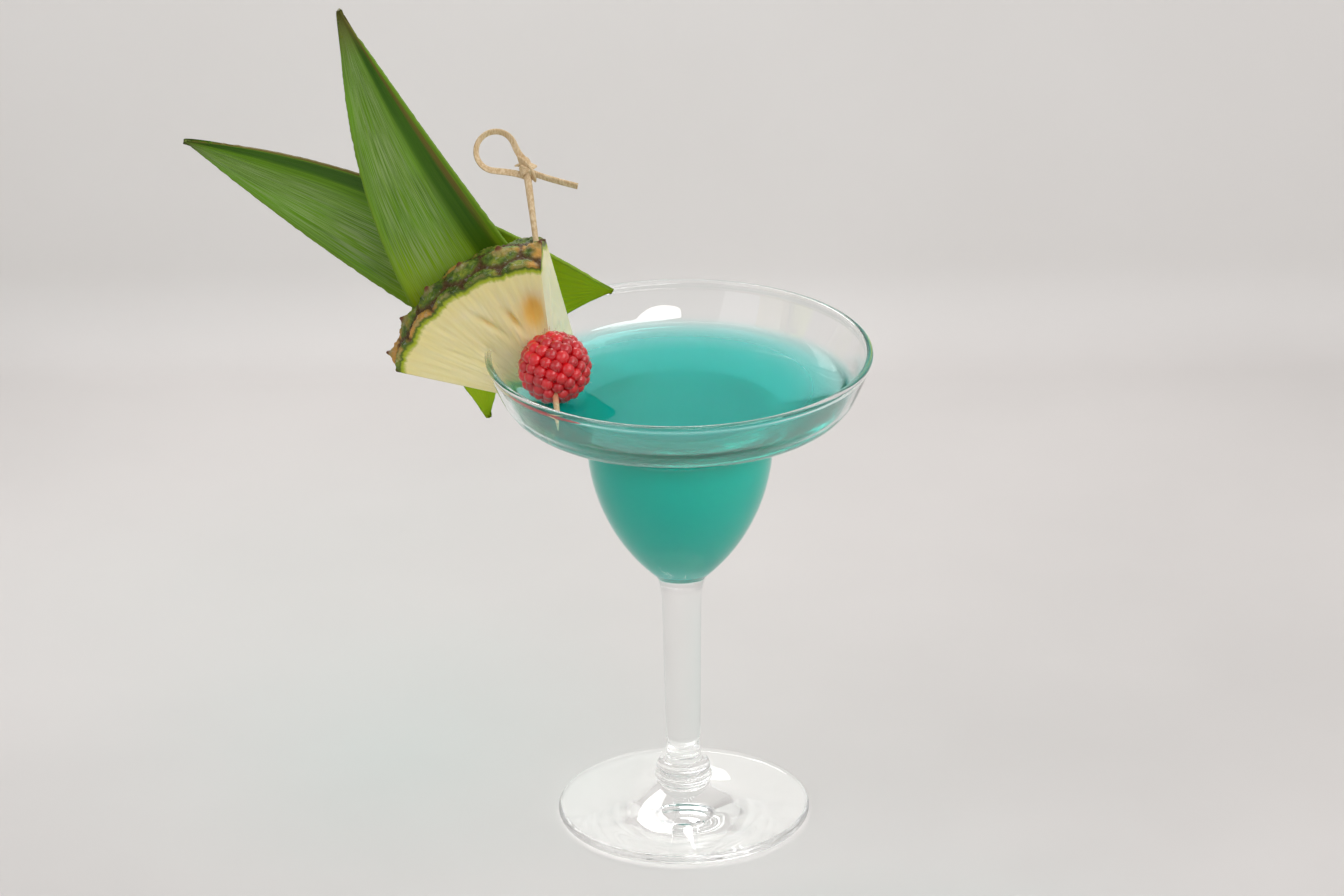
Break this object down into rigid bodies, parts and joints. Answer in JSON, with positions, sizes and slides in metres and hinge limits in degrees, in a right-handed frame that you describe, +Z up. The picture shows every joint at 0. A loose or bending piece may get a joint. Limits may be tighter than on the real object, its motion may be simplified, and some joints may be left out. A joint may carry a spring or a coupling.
{
  "type": "margarita cocktail",
  "caption": "Blue-green margarita in a stemmed wide-bowl glass, garnished on the rim with a pineapple wedge, crown leaves and a raspberry on a knotted bamboo pick.",
  "frame": {"origin": "centre of the foot's resting face", "axes": "+Z up along the glass's stem; the garnish hangs on the rim towards -X, and its cut front face looks towards -Y"},
  "size_m": [0.1983, 0.112, 0.2488],
  "materials": {
    "clear_glass": "clear polished glass",
    "teal_drink": "cloudy blue-green liquid, wet surface",
    "pineapple": "moist fruit flesh with a scaly green and ochre rind",
    "crown_leaf": "waxy leaf with pale lengthwise streaks",
    "raspberry": "glossy drupelets",
    "bamboo": "plain dry bamboo"
  },
  "bodies": {
    "root": {"glass": "clear_glass", "drink": "teal_drink", "pineapple_wedge": "pineapple", "leaf_tall": "crown_leaf", "leaf_side": "crown_leaf", "raspberry": "raspberry", "bamboo_pick": "bamboo"}
  },
  "joints": []
}
